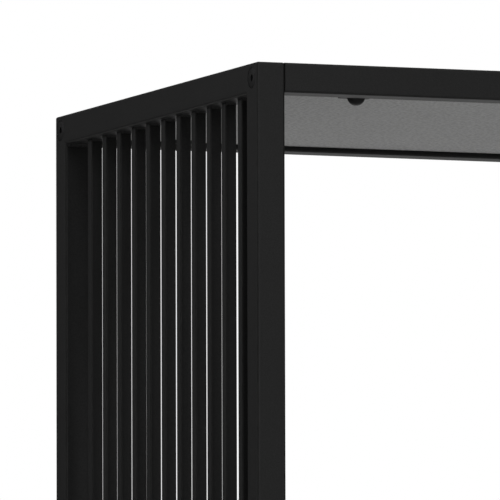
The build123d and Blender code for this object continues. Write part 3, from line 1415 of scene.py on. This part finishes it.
@dataclass
class Feet:
    """Levelling feet: threaded stems with hexagon collars, moulded pads, lock and weld nuts."""

    paint: Paintbox
    stem: float = 8.0 * MM
    pitch: float = 1.25 * MM
    thread_depth: float = 0.6 * MM
    flats: float = 13.0 * MM
    bore: float = 8.1 * MM
    pad: float = 24.0 * MM
    pad_top: float = 15.5 * MM
    pad_rim: float = 5.0 * MM
    collar: float = 5.0 * MM
    chamfer_share: float = 0.96
    thread_rows: int = 6
    points: int = 48
    pad_points: int = 96
    grip_depth: float = 0.35 * MM
    grip_pitch: int = 8

    CHAMFER_SLOPE = math.tan(math.radians(30))

    def build(self) -> None:
        """Build every foot and the nuts that stay on the frame."""
        self.build_nuts("foot_lock_nuts")
        self.build_nuts("foot_weld_nuts")
        for corner in self.corners():
            self.build_stem(corner)
            self.build_pad(corner)

    def corners(self) -> list[str]:
        """The word for each corner of the rack, such as left_front."""
        return [f"{side.name.lower()}_{end.name.lower()}" for side in Side for end in End]

    def axis(self, node: str) -> Vector:
        """Where the upright axis of a CAD node meets the ground."""
        low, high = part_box(node)
        return Vector(((low.x + high.x) / 2, (low.y + high.y) / 2, 0))

    def face_radius(self) -> float:
        """Radius of the flat face that a hexagon's chamfer leaves."""
        return self.flats / 2 * self.chamfer_share

    def chamfered(self, foot: Vector, level: float, sign: int) -> list[Vector]:
        """The hexagon's edge under its 30 degree chamfer.

        Args:
            foot: where its axis meets the ground.
            level: height of the flat face.
            sign: 1 if the metal is above that face, -1 if below.

        Returns:
            The edge's points.
        """
        centre = foot + UP * level
        loop = hexagon(centre, RIGHT, BACK, self.flats, self.points)
        for point in loop:
            point.z += sign * ((point - centre).length - self.face_radius()) * self.CHAMFER_SLOPE
        return loop

    def nut_loops(self, foot: Vector, bottom: float, top: float) -> list[list[Vector]]:
        """Loops of a chamfered hexagon nut, closing on itself through its bore.

        Args:
            foot: where its axis meets the ground.
            bottom: height of its lower face.
            top: height of its upper face.

        Returns:
            The loops in order.
        """
        lip = 0.35 * MM
        bore, face = self.bore / 2, self.face_radius()
        loops = []
        for level, sign in ((bottom, 1), (top, -1)):
            profile = ((bore, level + sign * lip), (bore + lip, level), (face, level))
            here = [*lathe(foot, profile, self.points), self.chamfered(foot, level, sign)]
            loops += here[::sign]
        return loops

    def build_nuts(self, node: str) -> None:
        """Build one set of nuts.

        Args:
            node: the CAD node that holds them.
        """
        low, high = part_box(node)
        turned = Turned(20)
        for corner in self.corners():
            turned.rings(self.nut_loops(self.axis(f"{corner}_foot_pad"), low.z, high.z), close_ends=False)
        settle(turned.build(f"{node}_set"), self.paint, ZINC_PLATE, replaces=[node])

    def build_stem(self, corner: str) -> None:
        """Build a stem with its rolled thread and its hexagon collar.

        Args:
            corner: which foot, such as left_front.
        """
        node = f"{corner}_foot_stem"
        low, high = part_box(node)
        foot = self.axis(node)
        collar_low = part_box(f"{corner}_foot_pad")[1].z
        collar_top = collar_low + self.collar
        stem, root, face = self.stem / 2, self.stem / 2 - self.thread_depth, self.face_radius()
        loops = lathe(foot, ((stem, low.z), (stem, collar_low), (face, collar_low)), self.points)
        loops.append(self.chamfered(foot, collar_low, 1))
        loops.append(self.chamfered(foot, collar_top, -1))
        loops += lathe(foot, ((face, collar_top), (root, collar_top)), self.points)
        start, stop = collar_top + 0.4 * MM, high.z - 1.0 * MM
        rows = int((stop - start) / self.pitch * self.thread_rows)
        for row in range(rows + 1):
            rise = (stop - start) * row / rows
            run_out = min(row / self.thread_rows, (rows - row) / self.thread_rows, 1.0)
            phases = [(rise / self.pitch - i / self.points) % 1.0 for i in range(self.points)]
            crests = [min((1 - abs(2 * phase - 1)) * 1.25, 1.0) for phase in phases]
            radii = [root + self.thread_depth * crest * run_out for crest in crests]
            loops.append(ring(foot + UP * (start + rise), RIGHT, BACK, radii))
        loops += lathe(foot, [(root - 0.4 * MM, high.z)], self.points)
        turned = Turned(30)
        turned.rings(loops)
        settle(turned.build(f"{node}_screw"), self.paint, ZINC_PLATE, f"{corner}_foot", [node])

    def build_pad(self, corner: str) -> None:
        """Build a moulded pad with its rim, cone, collar seat and ribbed edge.

        Args:
            corner: which foot, such as left_front.
        """
        node = f"{corner}_foot_pad"
        low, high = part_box(node)
        foot = self.axis(node)
        half, top, stem, rim = self.pad / 2, self.pad_top / 2, self.stem / 2, self.pad_rim
        edge, shoulder, seat = 1.0 * MM, half - 1.4 * MM, rim + 0.5 * MM
        profile = [(0.2 * MM, low.z + 0.5 * MM), (half * 0.55, low.z + 0.5 * MM), (half * 0.6, low.z)]
        for step in range(5):
            turn = math.pi / 2 * step / 4
            profile.append((half - edge * (1 - math.sin(turn)), low.z + edge * (1 - math.cos(turn))))
        profile += [(half, rim - 0.6 * MM), (half - 0.6 * MM, rim), (shoulder, seat)]
        for step in range(1, 6):
            share = step / 6
            bow = math.sin(math.pi * share) * 0.5 * MM
            radius = shoulder + (top - shoulder) * share - bow
            profile.append((radius, seat + (high.z - 0.6 * MM - seat) * share))
        profile += [(top, high.z - 0.6 * MM), (top - 0.5 * MM, high.z), (stem, high.z)]
        profile += [(stem, rim), (0.2 * MM, rim)]
        loops = []
        for radius, height in profile:
            grip = self.grip_depth if half - 0.05 * MM <= radius else 0.0
            radii = [radius - (grip if i % self.grip_pitch < 3 else 0.0) for i in range(self.pad_points)]
            loops.append(ring(foot + UP * height, RIGHT, BACK, radii))
        turned = Turned(35)
        turned.rings(loops)
        settle(turned.build(f"{node}_moulding"), self.paint, PAD_NYLON, f"{corner}_foot", [node])


# ---- Studio ----------------------------------------------------------------------------


@dataclass(frozen=True)
class Softbox:
    """A large soft lamp, aimed at a point on or near the rack."""

    name: str
    place: tuple[float, float, float]
    target: tuple[float, float, float]
    size: tuple[float, float]
    watts: float

    def build(self) -> bpy.types.Object:
        """Make the lamp.

        Returns:
            The new light object.
        """
        lamp = bpy.data.lights.new(self.name, "AREA")
        lamp.shape = "RECTANGLE"
        lamp.size, lamp.size_y = self.size
        lamp.energy = self.watts
        made = bpy.data.objects.new(self.name, lamp)
        made.location = self.place
        aim = Vector(self.target) - Vector(self.place)
        made.rotation_mode = "QUATERNION"
        made.rotation_quaternion = aim.to_track_quat("-Z", "Y")
        made.visible_camera = False
        bpy.context.scene.collection.objects.link(made)
        return made


@dataclass
class Studio:
    """Pale floor, white surroundings, soft lamps and the camera."""

    floor_radius: float = 9.0
    floor_solid: float = 0.45
    low_lamp: float = 1.0
    lens_mm: float = 1082.5
    sensor_mm: float = 36.0
    azimuth: float = 21.106
    elevation: float = 5.388
    roll: float = -0.148
    from_corner: tuple[float, float, float] = (-4.4651, -11.5509, -1.325)
    lamps: tuple[Softbox, ...] = (
        Softbox("key_softbox", (-2.2, -5.0, 6.5), (0, 0, 1.5), (2.0, 2.0), 30.0),
        Softbox("front_high", (-0.5, -6.5, 5.0), (0, 0, 1.2), (5.0, 2.0), 66.0),
        Softbox("front_strip", (-0.5, -7.5, 2.8), (0, 0, 1.4), (5.0, 1.6), 35.0),
        Softbox("left_rear_panel", (-6.0, 5.0, 4.0), (0, 0, 1.5), (4.0, 3.0), 38.0),
        Softbox("left_front_strip", (-7.0, -2.7, 2.0), (0, 0, 1.7), (0.8, 3.0), 15.0),
        Softbox("rear_floor_glow", (1.5, 3.5, 0.1), (1.0, 2.0, 2.0), (5.0, 4.0), 20.0),
        Softbox("under_rear_strip", (0.3, 1.7, 0.15), (0, 0, 2.0), (3.0, 0.8), 8.0),
        Softbox("rear_high", (2.0, 6.5, 5.5), (0, 0, 1.2), (4.0, 2.5), 50.0),
        Softbox("right_panel", (6.5, 1.0, 3.5), (0, 0, 1.2), (3.0, 3.0), 14.0),
        Softbox("top_softbox", (0.0, 0.0, 6.0), (0, 0, 0), (4.0, 4.0), 30.0),
    )

    def build(self) -> None:
        """Set the camera, the surroundings, the lamps and the floor."""
        self.build_camera()
        self.build_world()
        plain = bpy.data.collections.new("floor_kept_plain")
        plain.objects.link(self.build_floor())
        plain.collection_objects[0].light_linking.link_state = "EXCLUDE"
        for lamp in self.lamps:
            made = lamp.build()
            if lamp.place[2] < self.low_lamp:
                made.light_linking.receiver_collection = plain
        bpy.context.scene.view_settings.view_transform = "Standard"
        bpy.context.scene.view_settings.look = "None"

    def build_camera(self) -> None:
        """Place the camera from the outer front top corner of the left end frame."""
        lens = bpy.data.cameras.new("long_lens")
        lens.sensor_width = self.sensor_mm
        lens.lens = self.lens_mm
        lens.clip_start, lens.clip_end = 1.0, 100.0
        camera = bpy.data.objects.new("camera", lens)
        bpy.context.scene.collection.objects.link(camera)
        low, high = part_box("left_top_member")
        corner = Vector((low.x, low.y, high.z))
        turn, lift, roll = (math.radians(a) for a in (self.azimuth, self.elevation, self.roll))
        ahead = Vector((math.sin(turn) * math.cos(lift), math.cos(turn) * math.cos(lift), math.sin(lift)))
        level_right = Vector((math.cos(turn), -math.sin(turn), 0))
        level_up = level_right.cross(ahead)
        right = level_right * math.cos(roll) + level_up * math.sin(roll)
        up = level_up * math.cos(roll) - level_right * math.sin(roll)
        turned = Matrix((right, up, -ahead)).transposed()
        camera.matrix_world = Matrix.Translation(corner + Vector(self.from_corner)) @ turned.to_4x4()
        bpy.context.scene.camera = camera

    def build_world(self) -> None:
        """White surroundings for the eye, and a dimmer even light for the object."""
        world = bpy.data.worlds.new("white_studio")
        bpy.context.scene.world = world
        world.use_nodes = True
        tree = world.node_tree
        tree.nodes.clear()
        seen = add_node(tree, "ShaderNodeLightPath").outputs["Is Camera Ray"]
        lit = add_node(
            tree, "ShaderNodeBackground", inputs={"Color": (1, 1, 1, 1), "Strength": 0.02}
        ).outputs[0]
        shown = add_node(
            tree, "ShaderNodeBackground", inputs={"Color": (1, 1, 1, 1), "Strength": 1.0}
        ).outputs[0]
        mixed = add_node(tree, "ShaderNodeMixShader", inputs={0: seen, 1: lit, 2: shown}).outputs[0]
        add_node(tree, "ShaderNodeOutputWorld", inputs={"Surface": mixed})

    def build_floor(self) -> bpy.types.Object:
        """A round pale floor that fades into the white surroundings.

        Returns:
            The floor.
        """
        turned = bmesh.new()
        rings, count = 24, 96
        centre = turned.verts.new((0, 0, 0))
        rows = []
        for ring in range(1, rings + 1):
            radius = self.floor_radius * ring / rings
            row = []
            for i in range(count):
                turn = 2 * math.pi * i / count
                row.append(turned.verts.new((radius * math.cos(turn), radius * math.sin(turn), 0)))
            rows.append(row)
        for i in range(count):
            turned.faces.new((centre, rows[0][i], rows[0][(i + 1) % count]))
        for near, far in zip(rows, rows[1:]):
            for i in range(count):
                j = (i + 1) % count
                turned.faces.new((near[i], far[i], far[j], near[j]))
        mesh = bpy.data.meshes.new("studio_floor")
        turned.to_mesh(mesh)
        turned.free()
        floor = bpy.data.objects.new("studio_floor", mesh)
        bpy.context.scene.collection.objects.link(floor)
        mesh.materials.append(self.floor_material())
        return floor

    def floor_material(self) -> bpy.types.Material:
        """Matt pale vinyl that turns clear towards its rim.

        Returns:
            The floor's material.
        """
        material, tree, where = blank_material("pale_studio_vinyl_matt")
        away = add_node(
            tree, "ShaderNodeVectorMath", {"operation": "LENGTH"}, {0: where}
        ).outputs["Value"]
        solid = add_node(
            tree,
            "ShaderNodeMapRange",
            {"interpolation_type": "SMOOTHSTEP"},
            {
                "Value": away,
                "From Min": self.floor_radius * self.floor_solid,
                "From Max": self.floor_radius * 0.98,
                "To Min": 1.0,
                "To Max": 0.0,
            },
        ).outputs["Result"]
        fleck = add_node(
            tree, "ShaderNodeTexNoise", inputs={"Vector": where, "Scale": per_metre(30.0), "Detail": 4.0}
        ).outputs["Fac"]
        colour = add_node(
            tree,
            "ShaderNodeMix",
            {"data_type": "RGBA"},
            {"Factor": fleck, "A": linear("#e6e6e4"), "B": linear("#eaeae9")},
        ).outputs[2]
        seen = add_node(tree, "ShaderNodeLightPath").outputs["Is Camera Ray"]
        glow = add_node(tree, "ShaderNodeMath", {"operation": "MULTIPLY"}, {0: seen, 1: 0.7}).outputs[0]
        shader = add_node(
            tree,
            "ShaderNodeBsdfPrincipled",
            inputs={
                "Base Color": colour,
                "Roughness": 0.8,
                "Emission Color": (1.0, 1.0, 1.0, 1.0),
                "Emission Strength": glow,
            },
        ).outputs[0]
        clear = add_node(tree, "ShaderNodeBsdfTransparent").outputs[0]
        below = add_node(tree, "ShaderNodeNewGeometry").outputs["Backfacing"]
        faded = add_node(tree, "ShaderNodeMixShader", inputs={0: solid, 1: clear, 2: shader}).outputs[0]
        mixed = add_node(tree, "ShaderNodeMixShader", inputs={0: below, 1: faded, 2: clear}).outputs[0]
        add_node(tree, "ShaderNodeOutputMaterial", inputs={"Surface": mixed})
        return material


def dress_hidden_nodes(paint: Paintbox) -> None:
    """Finish the CAD nodes inside the tubes that keep their own shape.

    Args:
        paint: where the materials come from.
    """
    for side in Side:
        word = side.name.lower()
        paint.dress_node(f"{word}_crush_sleeves", ZINC_PLATE)
        paint.dress_node(f"{word}_rail_plugs", ZINC_PLATE)


def main() -> None:
    """Build the studio and every sub-assembly in order."""
    logging.basicConfig(level=logging.INFO, format="%(name)s: %(message)s")
    Studio().build()
    paint = Paintbox()
    for side in Side:
        EndFrame(side, paint).build()
        FrameBolts(side, paint).build()
    Rails(paint).build()
    Roof(paint).build()
    LogFloor(paint).build()
    Feet(paint).build()
    dress_hidden_nodes(paint)


if __name__ == "__main__":
    main()
